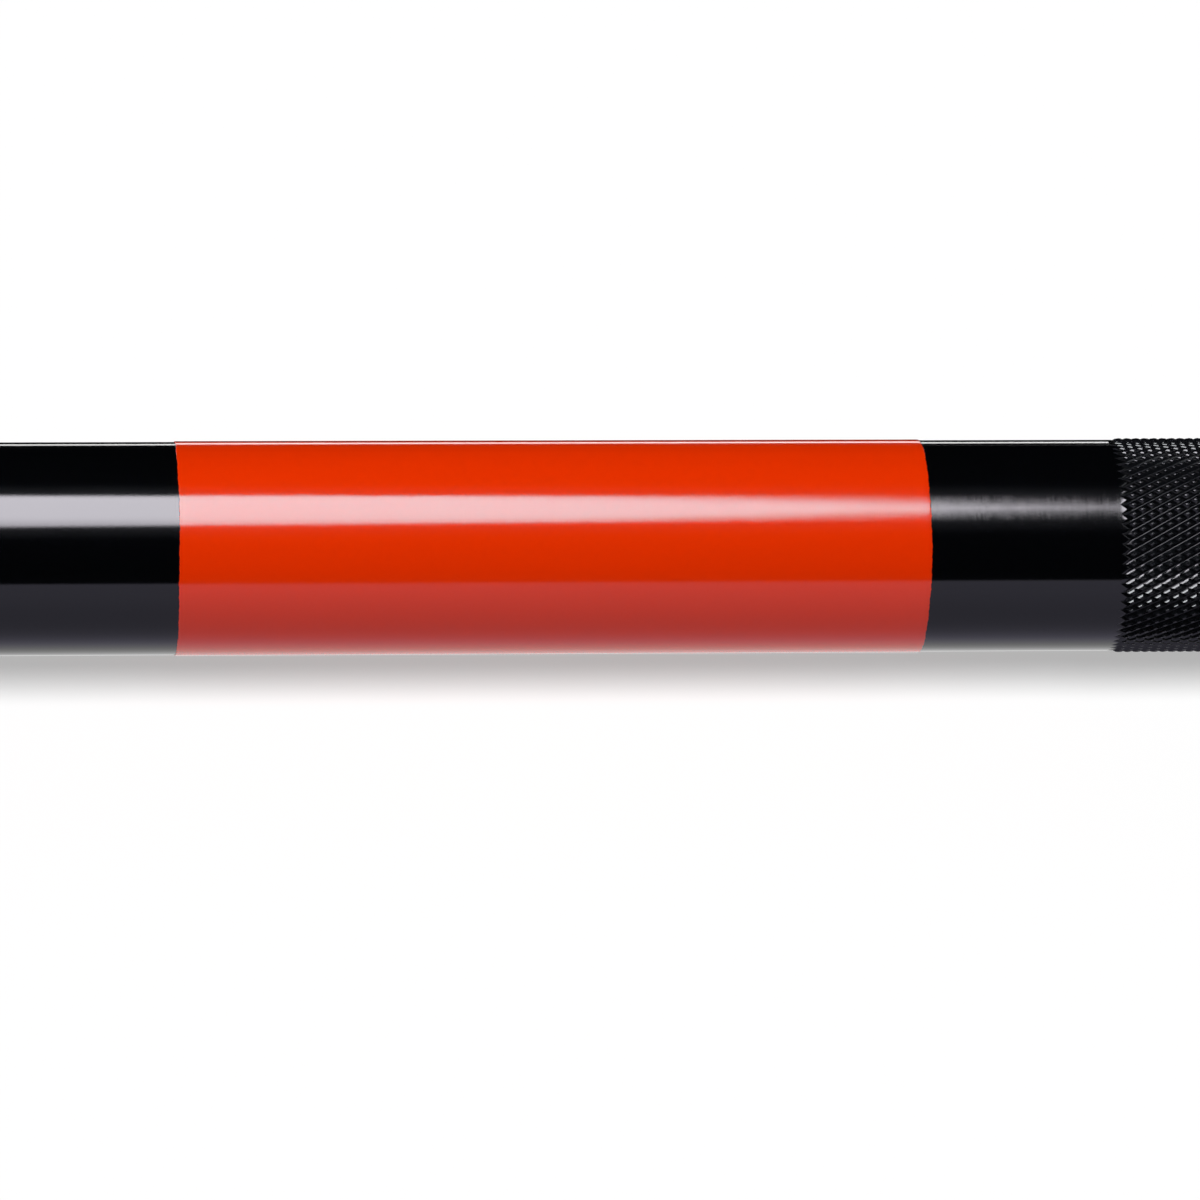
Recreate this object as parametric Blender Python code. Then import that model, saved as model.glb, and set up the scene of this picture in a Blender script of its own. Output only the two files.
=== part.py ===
# A powerlifting bar: one steel shaft with a sleeve that spins freely on each end.
#
# The bar lies along X and rests on its two collars, on the plane Z = 0.
# Each end is built once, measured outboard from its collar's inner face, and placed twice.
# All sizes are in metres.

import math

import bmesh
import bpy
from mathutils import Matrix, Vector

# Shaft between the collars
SHAFT_DIAMETER = 0.029
COLLAR_SPAN = 1.310
KNURL_RISE = 0.00023
KNURL_RAMP = 0.0006
CENTRE_KNURL_LENGTH = 0.120
BAND_LENGTH = 0.102
BAND_MARGIN = 0.026
BAND_THICKNESS = 0.00012
RING_MARK_SPAN = 0.810
RING_MARK_WIDTH = 0.005
KNURL_TO_COLLAR = 0.012

# Shaft ends, inside the sleeves
SHOULDER_PAST_LIP = 0.001
SHOULDER_STEP = 0.0015
SHOULDER_CHAMFER = 0.0005
SHAFT_END_TO_CAP = 0.003
SHAFT_RING_END_LAND = 0.004
SHAFT_RING_THICKNESS = 0.0012
SHAFT_RING_GROOVE_DEPTH = 0.00055
SHAFT_END_CHAMFER = 0.001

# Sleeve tube and collar
SLEEVE_DIAMETER = 0.050
SLEEVE_LENGTH = 0.415
SLEEVE_END_CHAMFER = 0.002
SLEEVE_START_CHAMFER = 0.0005
COLLAR_DIAMETER = 0.078
COLLAR_WIDTH = 0.030
COLLAR_BEVEL = 0.005
COLLAR_EDGE_CHAMFER = 0.001
COLLAR_GROOVE_WIDTH = 0.003
COLLAR_GROOVE_DEPTH = 0.001
COLLAR_LIP = 0.004
SEAL_SECTION = 0.0025
SEAL_HOLLOW = 0.0006

# Bushings and thrust washers
BUSHING_WALL = 0.003
BUSHING_LENGTH = 0.035
BUSHING_CHAMFER = 0.0008
FLANGE_RISE = 0.0028
FLANGE_THICKNESS = 0.003
WASHER_RISE = 0.0045
WASHER_THICKNESS = 0.002

# Sleeve end: a chamber for the shaft's ring, then the cap and the ring that keeps it in
CHAMBER_RISE = 0.0028
CAP_LEDGE = 0.0012
CAP_RECESS = 0.009
CAP_RIM_THICKNESS = 0.0028
CAP_BOSS_DIAMETER = 0.026
CAP_BOSS_HEIGHT = 0.003
CAP_BOSS_CHAMFER = 0.0008
CAP_RING_THICKNESS = 0.00175
CAP_RING_GROOVE_DEPTH = 0.0009

# Snap rings, both sizes
RING_WIDTH = 0.0022
RING_LUG_DEPTH = 0.0044
RING_LUG_LENGTH = 0.0045
RING_MOUTH = 0.005
RING_HOLE_DIAMETER = 0.0018
RING_HOLE_SIDES = 8

# Fits
RUNNING_CLEARANCE = 0.0001
PRESS_GAP = 0.00003
FACE_GAP = 0.0001

# Every turned surface has this many flats, a multiple of four, with one flat underneath
FLATS = 36
FLAT_RATIO = math.cos(math.pi / FLATS)

# Radii that follow from these sizes
SHAFT_RADIUS = SHAFT_DIAMETER / 2
JOURNAL_RADIUS = SHAFT_RADIUS - SHOULDER_STEP
SHAFT_GROOVE_RADIUS = JOURNAL_RADIUS - SHAFT_RING_GROOVE_DEPTH
BUSHING_BORE_RADIUS = JOURNAL_RADIUS + RUNNING_CLEARANCE
BUSHING_RADIUS = BUSHING_BORE_RADIUS + BUSHING_WALL
FLANGE_RADIUS = BUSHING_RADIUS + FLANGE_RISE
SLEEVE_BORE_RADIUS = BUSHING_RADIUS + PRESS_GAP
CHAMBER_RADIUS = SLEEVE_BORE_RADIUS + CHAMBER_RISE
CAP_SEAT_RADIUS = CHAMBER_RADIUS + CAP_LEDGE
CAP_GROOVE_RADIUS = CAP_SEAT_RADIUS + CAP_RING_GROOVE_DEPTH
SLEEVE_RADIUS = SLEEVE_DIAMETER / 2
SEAL_BORE_RADIUS = SHAFT_RADIUS + RUNNING_CLEARANCE
LIP_BORE_RADIUS = SEAL_BORE_RADIUS + SEAL_SECTION
COLLAR_RADIUS = COLLAR_DIAMETER / 2
AXIS_HEIGHT = COLLAR_RADIUS * FLAT_RATIO

# Stations along one end of the bar, from the collar's inner face outboard
TUBE_START = COLLAR_LIP + FACE_GAP
SHOULDER = COLLAR_LIP + SHOULDER_PAST_LIP
INNER_WASHER_START = SHOULDER + FACE_GAP
FLANGE_START = INNER_WASHER_START + WASHER_THICKNESS + FACE_GAP
FLANGE_SEAT = FLANGE_START + FLANGE_THICKNESS + PRESS_GAP
TUBE_END = COLLAR_WIDTH + SLEEVE_LENGTH
CAP_SEAT = TUBE_END - CAP_RECESS
CAP_START = CAP_SEAT + FACE_GAP
CAP_GROOVE_START = CAP_START + CAP_RIM_THICKNESS
CAP_RING_START = CAP_GROOVE_START + FACE_GAP
CAP_GROOVE_END = CAP_RING_START + CAP_RING_THICKNESS + FACE_GAP
SHAFT_END = CAP_SEAT - SHAFT_END_TO_CAP
SHAFT_GROOVE_END = SHAFT_END - SHAFT_RING_END_LAND
SHAFT_RING_START = SHAFT_GROOVE_END - FACE_GAP - SHAFT_RING_THICKNESS
SHAFT_GROOVE_START = SHAFT_RING_START - FACE_GAP
OUTER_WASHER_START = SHAFT_GROOVE_START - WASHER_THICKNESS
CHAMBER_FLOOR = OUTER_WASHER_START - FACE_GAP


def bore(radius):
    """Corner radius of a hole whose flats lie on this radius, so a round of it just passes."""
    return radius / FLAT_RATIO


def clear_scene():
    for item in list(bpy.data.objects):
        bpy.data.objects.remove(item)


def finish(name, colour, roughness, metallic):
    """A material of one colour."""
    material = bpy.data.materials.new(name)
    material.use_nodes = True
    shader = material.node_tree.nodes["Principled BSDF"]
    shader.inputs["Base Color"].default_value = (*colour, 1.0)
    shader.inputs["Roughness"].default_value = roughness
    shader.inputs["Metallic"].default_value = metallic
    return material


def mesh_of(form, name, material):
    """A closed, outward facing mesh, smooth round its turned surfaces."""
    bmesh.ops.remove_doubles(form, verts=form.verts, dist=1e-6)
    bmesh.ops.recalc_face_normals(form, faces=form.faces)
    mesh = bpy.data.meshes.new(name)
    form.to_mesh(mesh)
    form.free()
    mesh.shade_smooth()
    mesh.set_sharp_from_angle(angle=math.radians(30))
    mesh.materials.append(material)
    return mesh


def turned(name, profile, material, ring=True):
    """A profile of (x, radius) points spun about X. A ring's profile closes on itself."""
    form = bmesh.new()
    half_flat = Matrix.Rotation(math.pi / FLATS, 3, "X")
    points = [form.verts.new(half_flat @ Vector((x, 0, radius))) for x, radius in profile]
    edges = [form.edges.new(pair) for pair in zip(points, points[1:])]
    if ring:
        edges.append(form.edges.new((points[-1], points[0])))
    bmesh.ops.spin(
        form,
        geom=points + edges,
        cent=(0, 0, 0),
        axis=(1, 0, 0),
        angle=math.tau,
        steps=FLATS,
        use_merge=True,
    )
    return mesh_of(form, name, material)


def facet_point(radius, angle):
    """The (y, z) point at this angle on the many-sided outline of this corner radius."""
    flat = math.tau / FLATS
    from_flat_middle = angle - round(angle / flat) * flat
    reach = radius * FLAT_RATIO / math.cos(from_flat_middle)
    return reach * math.sin(angle), reach * math.cos(angle)


def arc(radius, start, end):
    """Points on that outline from one angle to another, with every corner between them."""
    flat = math.tau / FLATS
    first = math.floor(start / flat - 0.5) + 1
    last = math.ceil(end / flat - 0.5)
    angles = [start] + [(step + 0.5) * flat for step in range(first, last)] + [end]
    return [facet_point(radius, angle) for angle in angles]


def loop(form, points):
    """A closed loop of edges through (y, z) points."""
    corners = [form.verts.new((0, y, z)) for y, z in points]
    return [form.edges.new(pair) for pair in zip(corners, corners[1:] + corners[:1])]


def snap_ring_mesh(name, seat, side, thickness, material):
    """An open ring whose edge at the seat fills a groove. Side is 1 for a shaft, -1 for a bore.

    Its two lugs stand away from the seat, each with a round hole for the pliers.
    """
    free_edge = seat + side * RING_WIDTH
    lug_edge = seat + side * RING_LUG_DEPTH
    lug_middle = (free_edge + lug_edge) / 2
    mouth = RING_MOUTH / 2 / lug_middle
    lug = mouth + RING_LUG_LENGTH / lug_middle
    form = bmesh.new()
    edges = loop(form, [
        *arc(seat, mouth, math.tau - mouth),
        *arc(lug_edge, math.tau - lug, math.tau - mouth)[::-1],
        *arc(free_edge, lug, math.tau - lug)[::-1],
        *arc(lug_edge, mouth, lug)[::-1],
    ])
    hole_radius = RING_HOLE_DIAMETER / 2
    for angle in ((mouth + lug) / 2, -(mouth + lug) / 2):
        middle_y, middle_z = facet_point((seat + lug_edge) / 2, angle)
        turns = [step * math.tau / RING_HOLE_SIDES for step in range(RING_HOLE_SIDES)]
        edges += loop(form, [
            (middle_y + hole_radius * math.sin(turn), middle_z + hole_radius * math.cos(turn))
            for turn in turns
        ])
    bmesh.ops.triangle_fill(form, edges=edges, use_beauty=True)
    thick = bmesh.ops.extrude_face_region(form, geom=form.faces[:])
    moved = [part for part in thick["geom"] if isinstance(part, bmesh.types.BMVert)]
    bmesh.ops.translate(form, verts=moved, vec=(thickness, 0, 0))
    return mesh_of(form, name, material)


def shaft_mesh(material):
    """The whole shaft in one turning: knurled lands, shoulders, journals and ring grooves."""
    knurl = SHAFT_RADIUS + KNURL_RISE
    collar = COLLAR_SPAN / 2
    mark = RING_MARK_SPAN / 2
    centre_end = CENTRE_KNURL_LENGTH / 2
    band_zone = 2 * BAND_MARGIN + BAND_LENGTH
    half = [(centre_end - KNURL_RAMP, knurl), (centre_end, SHAFT_RADIUS)]
    for start, end in (
        (centre_end + band_zone, mark - RING_MARK_WIDTH / 2),
        (mark + RING_MARK_WIDTH / 2, collar - KNURL_TO_COLLAR),
    ):
        half += [
            (start, SHAFT_RADIUS),
            (start + KNURL_RAMP, knurl),
            (end - KNURL_RAMP, knurl),
            (end, SHAFT_RADIUS),
        ]
    half += [
        (collar + SHOULDER - SHOULDER_CHAMFER, SHAFT_RADIUS),
        (collar + SHOULDER, SHAFT_RADIUS - SHOULDER_CHAMFER),
        (collar + SHOULDER, JOURNAL_RADIUS),
        (collar + SHAFT_GROOVE_START, JOURNAL_RADIUS),
        (collar + SHAFT_GROOVE_START, SHAFT_GROOVE_RADIUS),
        (collar + SHAFT_GROOVE_END, SHAFT_GROOVE_RADIUS),
        (collar + SHAFT_GROOVE_END, JOURNAL_RADIUS),
        (collar + SHAFT_END - SHAFT_END_CHAMFER, JOURNAL_RADIUS),
        (collar + SHAFT_END, JOURNAL_RADIUS - SHAFT_END_CHAMFER),
        (collar + SHAFT_END, 0),
    ]
    other_half = [(-x, radius) for x, radius in reversed(half)]
    return turned("shaft", other_half + half, material, ring=False)


def band_mesh(material):
    """The coloured coat on a smooth length, as a skin whose flats follow the steel's."""
    inner = SHAFT_RADIUS + PRESS_GAP
    outer = inner + BAND_THICKNESS
    profile = [(0, outer), (BAND_LENGTH, outer), (BAND_LENGTH, inner), (0, inner)]
    return turned("grip_band", profile, material)


def tube_mesh(material):
    """The loading sleeve: outside diameter for the plates, stepped bore for what it holds."""
    pocket = bore(FLANGE_RADIUS + PRESS_GAP)
    cap_seat = bore(CAP_SEAT_RADIUS)
    cap_groove = bore(CAP_GROOVE_RADIUS)
    return turned("sleeve_tube", [
        (TUBE_START, SLEEVE_RADIUS - SLEEVE_START_CHAMFER),
        (TUBE_START + SLEEVE_START_CHAMFER, SLEEVE_RADIUS),
        (TUBE_END - SLEEVE_END_CHAMFER, SLEEVE_RADIUS),
        (TUBE_END, SLEEVE_RADIUS - SLEEVE_END_CHAMFER / 2),
        (TUBE_END, cap_seat),
        (CAP_GROOVE_END, cap_seat),
        (CAP_GROOVE_END, cap_groove),
        (CAP_GROOVE_START, cap_groove),
        (CAP_GROOVE_START, cap_seat),
        (CAP_SEAT, cap_seat),
        (CAP_SEAT, bore(CHAMBER_RADIUS)),
        (CHAMBER_FLOOR, bore(CHAMBER_RADIUS)),
        (CHAMBER_FLOOR, bore(SLEEVE_BORE_RADIUS)),
        (FLANGE_SEAT, bore(SLEEVE_BORE_RADIUS)),
        (FLANGE_SEAT, pocket),
        (TUBE_START, pocket),
    ], material)


def collar_mesh(material):
    """The flange that stops the plates, pressed on the tube, with a lip over the tube's end."""
    groove = (COLLAR_BEVEL + COLLAR_WIDTH) / 2
    tube_bore = bore(SLEEVE_RADIUS + PRESS_GAP)
    return turned("collar", [
        (0, COLLAR_RADIUS - COLLAR_BEVEL),
        (COLLAR_BEVEL, COLLAR_RADIUS),
        (groove - COLLAR_GROOVE_WIDTH / 2, COLLAR_RADIUS),
        (groove, COLLAR_RADIUS - COLLAR_GROOVE_DEPTH),
        (groove + COLLAR_GROOVE_WIDTH / 2, COLLAR_RADIUS),
        (COLLAR_WIDTH - COLLAR_EDGE_CHAMFER, COLLAR_RADIUS),
        (COLLAR_WIDTH, COLLAR_RADIUS - COLLAR_EDGE_CHAMFER),
        (COLLAR_WIDTH, tube_bore),
        (COLLAR_LIP, tube_bore),
        (COLLAR_LIP, bore(LIP_BORE_RADIUS)),
        (0, bore(LIP_BORE_RADIUS)),
    ], material)


def seal_mesh(material):
    """Rubber wiper in the collar's lip, hollowed between its two wiping edges."""
    outer = LIP_BORE_RADIUS - PRESS_GAP
    width = COLLAR_LIP - 2 * FACE_GAP
    return turned("dust_seal", [
        (0, outer),
        (width, outer),
        (width, bore(SEAL_BORE_RADIUS)),
        (width / 2, bore(SEAL_BORE_RADIUS + SEAL_HOLLOW)),
        (0, bore(SEAL_BORE_RADIUS)),
    ], material)


def inner_bushing_mesh(material):
    """Bushing at the collar. Its flange takes the thrust of the shaft's shoulder."""
    end = FLANGE_THICKNESS + BUSHING_LENGTH
    return turned("inner_bushing", [
        (0, FLANGE_RADIUS),
        (FLANGE_THICKNESS, FLANGE_RADIUS),
        (FLANGE_THICKNESS, BUSHING_RADIUS),
        (end - BUSHING_CHAMFER, BUSHING_RADIUS),
        (end, BUSHING_RADIUS - BUSHING_CHAMFER),
        (end, bore(BUSHING_BORE_RADIUS)),
        (0, bore(BUSHING_BORE_RADIUS)),
    ], material)


def outer_bushing_mesh(material):
    """Plain bushing, flush with the floor of the sleeve's end chamber."""
    return turned("outer_bushing", [
        (0, BUSHING_RADIUS - BUSHING_CHAMFER),
        (BUSHING_CHAMFER, BUSHING_RADIUS),
        (BUSHING_LENGTH, BUSHING_RADIUS),
        (BUSHING_LENGTH, bore(BUSHING_BORE_RADIUS)),
        (0, bore(BUSHING_BORE_RADIUS)),
    ], material)


def washer_mesh(material):
    """Flat thrust washer on the journal."""
    inner = bore(JOURNAL_RADIUS + PRESS_GAP)
    outer = JOURNAL_RADIUS + WASHER_RISE
    profile = [(0, outer), (WASHER_THICKNESS, outer), (WASHER_THICKNESS, inner), (0, inner)]
    return turned("thrust_washer", profile, material)


def shaft_ring_mesh(material):
    """Snap ring in the shaft's groove, which keeps the sleeve on."""
    seat = bore(SHAFT_GROOVE_RADIUS + PRESS_GAP)
    return snap_ring_mesh("shaft_ring", seat, 1, SHAFT_RING_THICKNESS, material)


def cap_ring_mesh(material):
    """Snap ring in the sleeve's groove, which keeps the cap in."""
    seat = CAP_GROOVE_RADIUS - PRESS_GAP
    return snap_ring_mesh("cap_ring", seat, -1, CAP_RING_THICKNESS, material)


def cap_mesh(material):
    """Closing disc of the sleeve: a rim that its ring holds, and a low round boss."""
    rim = CAP_SEAT_RADIUS - PRESS_GAP
    boss = CAP_BOSS_DIAMETER / 2
    top = CAP_RIM_THICKNESS + CAP_BOSS_HEIGHT
    return turned("end_cap", [
        (0, 0),
        (0, rim),
        (CAP_RIM_THICKNESS, rim),
        (CAP_RIM_THICKNESS, boss),
        (top - CAP_BOSS_CHAMFER, boss),
        (top, boss - CAP_BOSS_CHAMFER),
        (top, 0),
    ], material, ring=False)


def axis_empty(name, x, turn):
    """A point on the bar's axis. Its own X axis runs along the bar, turned about Z."""
    empty = bpy.data.objects.new(name, None)
    bpy.context.scene.collection.objects.link(empty)
    empty.location = (x, 0, AXIS_HEIGHT)
    empty.rotation_euler = (0, 0, turn)
    return empty


def place(name, mesh, parent, x):
    """One piece on the axis of its parent, x along it."""
    piece = bpy.data.objects.new(name, mesh)
    bpy.context.scene.collection.objects.link(piece)
    piece.parent = parent
    piece.location = (x, 0, 0)


def main():
    clear_scene()
    black_coat = finish("black_coat", (0.012, 0.012, 0.014), 0.12, 0.6)
    orange_coat = finish("orange_coat", (0.62, 0.045, 0.005), 0.18, 0.0)
    chrome = finish("chrome", (0.62, 0.63, 0.65), 0.12, 1.0)
    bronze = finish("bronze", (0.56, 0.33, 0.14), 0.35, 1.0)
    washer_steel = finish("washer_steel", (0.42, 0.42, 0.43), 0.35, 1.0)
    spring_steel = finish("spring_steel", (0.05, 0.05, 0.055), 0.35, 0.8)
    cap_metal = finish("cap_metal", (0.03, 0.03, 0.033), 0.3, 0.7)
    rubber = finish("rubber", (0.02, 0.02, 0.02), 0.7, 0.0)

    bar_axis = axis_empty("bar_axis", 0, 0)
    place("shaft", shaft_mesh(black_coat), bar_axis, 0)
    band = band_mesh(orange_coat)
    band_start = CENTRE_KNURL_LENGTH / 2 + BAND_MARGIN
    place("grip_band_left", band, bar_axis, -band_start - BAND_LENGTH)
    place("grip_band_right", band, bar_axis, band_start)

    washer = washer_mesh(washer_steel)
    on_the_shaft = {
        "inner_thrust_washer": (washer, INNER_WASHER_START),
        "outer_thrust_washer": (washer, OUTER_WASHER_START),
        "shaft_ring": (shaft_ring_mesh(spring_steel), SHAFT_RING_START),
    }
    in_the_sleeve = {
        "sleeve_tube": (tube_mesh(chrome), 0),
        "collar": (collar_mesh(chrome), 0),
        "dust_seal": (seal_mesh(rubber), FACE_GAP),
        "inner_bushing": (inner_bushing_mesh(bronze), FLANGE_START),
        "outer_bushing": (outer_bushing_mesh(bronze), CHAMBER_FLOOR - BUSHING_LENGTH),
        "end_cap": (cap_mesh(cap_metal), CAP_START),
        "cap_ring": (cap_ring_mesh(spring_steel), CAP_RING_START),
    }
    for side, x, turn in (("left", -COLLAR_SPAN / 2, math.pi), ("right", COLLAR_SPAN / 2, 0)):
        for group, pieces in (("shaft_end", on_the_shaft), ("sleeve_axis", in_the_sleeve)):
            axis = axis_empty(f"{group}_{side}", x, turn)
            for name, (mesh, station) in pieces.items():
                place(f"{name}_{side}", mesh, axis, station)


main()
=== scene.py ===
# %% [markdown]
# # A powerlifting bar, photographed close up
# The object is a 2.2 m barbell. The photograph looks at about 165 mm of its shaft: glossy black
# coat, one orange grip band and the start of a diamond knurl, lit by one large softbox overhead.
# The CAD model is the fixed frame: it gives every place and size, and this script gives the looks.

# %% Load the frame
import math

import bmesh
import bpy
import numpy as np
from mathutils import Matrix, Vector
from mathutils.geometry import tessellate_polygon


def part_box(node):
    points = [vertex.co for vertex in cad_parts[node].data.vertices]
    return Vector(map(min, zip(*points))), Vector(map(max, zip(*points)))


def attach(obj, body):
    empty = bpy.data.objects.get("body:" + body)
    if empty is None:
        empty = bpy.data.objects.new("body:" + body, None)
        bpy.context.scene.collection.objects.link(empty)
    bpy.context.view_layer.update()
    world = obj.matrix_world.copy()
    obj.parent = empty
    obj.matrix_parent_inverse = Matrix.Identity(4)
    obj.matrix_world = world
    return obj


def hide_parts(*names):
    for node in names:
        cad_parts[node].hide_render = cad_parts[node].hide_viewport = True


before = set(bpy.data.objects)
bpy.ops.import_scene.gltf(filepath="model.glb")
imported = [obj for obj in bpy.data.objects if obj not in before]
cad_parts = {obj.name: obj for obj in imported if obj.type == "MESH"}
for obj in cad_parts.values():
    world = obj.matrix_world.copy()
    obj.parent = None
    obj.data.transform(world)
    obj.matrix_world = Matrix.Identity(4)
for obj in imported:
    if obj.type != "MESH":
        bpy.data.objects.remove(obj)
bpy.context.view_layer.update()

# %% [markdown]
# ## Sizes
# The bar lies along X on its two collars, so half a collar's height is the height of its axis.
# Every other length is the one the CAD uses, in metres.
# The knurled lengths, the bands and the sleeves are the same on both sides of the middle.

# %% Sizes of the bar
collar_low, collar_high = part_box("collar_right")
AXIS = (collar_low.z + collar_high.z) / 2
COLLAR_FACE = collar_low.x
SHAFT = 0.0145
KNURL_CREST = 0.00023
KNURL_ZONES = {"centre": (-0.060, 0.060), "grip": (0.214, 0.4025), "wide": (0.4075, 0.643)}
BAND = (0.086, 0.188)
BOTH_SIDES = (("left", -1), ("right", 1))
print(f"axis {AXIS * 1000:.2f} mm above the floor, collars {2 * COLLAR_FACE * 1000:.0f} mm apart")

# %% [markdown]
# ## A camera where the photographer stood
# The band's edges bulge more on the right than on the left, so the lens was opposite a point left
# of the picture. A shifted lens would show that too, but a shift stays in every other view.
# So the camera turns a little to the right instead, and rolls so that the bar runs nearly level.

# %% Camera
def in_scene(name, data):
    """A new object, linked to the scene."""
    made = bpy.data.objects.new(name, data)
    bpy.context.scene.collection.objects.link(made)
    return made


IMAGE, FOCAL_PIXELS, SENSOR = 1200, 8435.5, 36.0
CAMERA_PLACE = (0.0303, -0.9096, AXIS + 0.7004)
YAW, PITCH, ROLL = (math.radians(angle) for angle in (7.17, 37.74, 4.16))
level_ahead = Vector((math.sin(YAW), math.cos(YAW), 0.0))
ahead = math.cos(PITCH) * level_ahead - math.sin(PITCH) * Vector((0.0, 0.0, 1.0))
level_right = Vector((math.cos(YAW), -math.sin(YAW), 0.0))
level_up = level_right.cross(ahead)
right = math.cos(ROLL) * level_right + math.sin(ROLL) * level_up
up = right.cross(ahead)
lens = bpy.data.cameras.new("camera")
lens.sensor_width = SENSOR
lens.lens = FOCAL_PIXELS * SENSOR / IMAGE
lens.clip_start, lens.clip_end = 0.05, 300.0
camera = in_scene("camera", lens)
camera.location = CAMERA_PLACE
camera.rotation_euler = Matrix((right, up, -ahead)).transposed().to_euler()
bpy.context.scene.camera = camera
bpy.context.scene.view_settings.view_transform = "Standard"
print(f"lens {lens.lens:.1f} mm, {camera.location.length:.2f} m from the middle of the bar")

# %% [markdown]
# ## Shader and geometry trees as expressions
# A node tree reads best as a formula. `Signal` is one output socket with Python's operators, and
# `Net` adds any other node from its type, its settings and the values or links of its sockets.

# %% Signal and Net
class Signal:
    """One output socket, usable in an expression on values."""

    def __init__(self, net, socket):
        self.net, self.socket = net, socket

    def math(self, operation, *others):
        sockets = dict(enumerate((self, *others)))
        return self.net.node("ShaderNodeMath", {"operation": operation}, sockets)[0]

    def __add__(self, other): return self.math("ADD", other)
    def __sub__(self, other): return self.math("SUBTRACT", other)
    def __mul__(self, other): return self.math("MULTIPLY", other)
    def __truediv__(self, other): return self.math("DIVIDE", other)
    def __pow__(self, other): return self.math("POWER", other)
    def __gt__(self, other): return self.math("GREATER_THAN", other)
    def __lt__(self, other): return self.math("LESS_THAN", other)
    __radd__, __rmul__ = __add__, __mul__

    def __rsub__(self, other):
        return self.net.node("ShaderNodeMath", {"operation": "SUBTRACT"}, {0: other, 1: self})[0]


class Net:
    """A node tree that grows by name."""

    def __init__(self, tree):
        self.tree = tree

    def node(self, kind, settings=None, sockets=None):
        made = self.tree.nodes.new(kind)
        for name, value in (settings or {}).items():
            if name == "stops":
                self.set_stops(made.color_ramp, value)
            elif name == "items":
                for _ in range(value - len(made.index_switch_items)):
                    made.index_switch_items.new()
            else:
                setattr(made, name, value)
        for name, value in (sockets or {}).items():
            for one in value if isinstance(value, list) else [value]:
                if isinstance(one, Signal):
                    self.tree.links.new(one.socket, made.inputs[name])
                else:
                    made.inputs[name].default_value = one
        return Outputs(self, made)

    @staticmethod
    def set_stops(colours, stops):
        while len(colours.elements) < len(stops):
            colours.elements.new(0.5)
        for element, (place, colour) in zip(colours.elements, stops):
            element.position, element.color = place, colour


class Outputs:
    """What a node gives, by name or number."""

    def __init__(self, net, node):
        self.net, self.made = net, node

    def __getitem__(self, name):
        return Signal(self.net, self.made.outputs[name])


print("node trees can be written as expressions")

# %% [markdown]
# ## Words for the finishes
# The same few steps come back in nearly every finish. Each gets a short name, so that a finish
# reads as a list of what the maker did to the surface.

# %% Steps that finishes share
WHITE, NO_LIGHT = (1.0, 1.0, 1.0), (0.0, 0.0, 0.0)


def finish(name):
    """A new material with an empty tree, as a Net."""
    material = bpy.data.materials.new(name)
    material.use_nodes = True
    material.node_tree.nodes.clear()
    return material, Net(material.node_tree)


def surface(net, shader):
    net.node("ShaderNodeOutputMaterial", None, {"Surface": shader})


def principled(net, sockets):
    surface(net, net.node("ShaderNodeBsdfPrincipled", None, sockets)[0])


def diffuse(net, colour):
    return net.node("ShaderNodeBsdfDiffuse", None, {"Color": (*colour, 1.0)})[0]


def emission(net, strength, colour=WHITE):
    sockets = {"Color": (*colour, 1.0), "Strength": strength}
    return net.node("ShaderNodeEmission", None, sockets)[0]


def object_place(net):
    return net.node("ShaderNodeTexCoord")["Object"]


def split(net, place=None):
    """The x, y and z of a place, else of the shaded point in the object's own coordinates."""
    parts = net.node("ShaderNodeSeparateXYZ", None, {0: place or object_place(net)})
    return parts[0], parts[1], parts[2]


def ramp(net, value, low, high, to_low=0.0, to_high=1.0):
    """A smooth rise or fall while the value goes from low to high."""
    sockets = {
        "Value": value, "From Min": low, "From Max": high, "To Min": to_low, "To Max": to_high,
    }
    return net.node("ShaderNodeMapRange", {"interpolation_type": "SMOOTHSTEP"}, sockets)["Result"]


def noise(net, scale, detail=3.0, place=None):
    sockets = {"Vector": place or object_place(net), "Scale": scale, "Detail": detail}
    return net.node("ShaderNodeTexNoise", None, sockets)["Fac"]


def ring_noise(net, along, detail, roughness=0.5):
    """Noise that changes along one length only, as marks of a turning tool do."""
    sockets = {"W": along, "Detail": detail, "Roughness": roughness}
    return net.node("ShaderNodeTexNoise", {"noise_dimensions": "1D"}, sockets)["Fac"]


def mixed(net, share, low, high):
    """One colour turning into another as the share goes from 0 to 1."""
    sockets = {"Factor": share, 6: (*low, 1.0), 7: (*high, 1.0)}
    return net.node("ShaderNodeMix", {"data_type": "RGBA"}, sockets)[2]


def bump(net, height, depth, normal=None):
    sockets = {"Height": height, "Strength": 1.0, "Distance": depth}
    if normal:
        sockets["Normal"] = normal
    return net.node("ShaderNodeBump", None, sockets)["Normal"]


print("steps for the finishes are ready")

# %% [markdown]
# ## Floor, backdrop and what the gloss sees
# The set is a white table in a dark studio. Camera, glossy and transmission rays see the floor and
# the world as white, and the floor still takes the sun's shadow. The darkness is a black drape over
# the whole set that only reflections see, which keeps the upper half of the glossy bar black.

# %% Floor and world
FLOOR_COLOUR, FLOOR_GLOW, FLOOR_BOUNCE, FLOOR_REACH = (0.4, 0.4, 0.4), 0.43, 0.05, 70.0
AMBIENT = 0.072


def seen_by_eye(net):
    """1 for the rays that show the background: camera, glossy and transmission."""
    ray = net.node("ShaderNodeLightPath")
    any_of_them = ray["Is Camera Ray"] + ray["Is Glossy Ray"] + ray["Is Transmission Ray"]
    return any_of_them.math("MINIMUM", 1.0)


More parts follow.
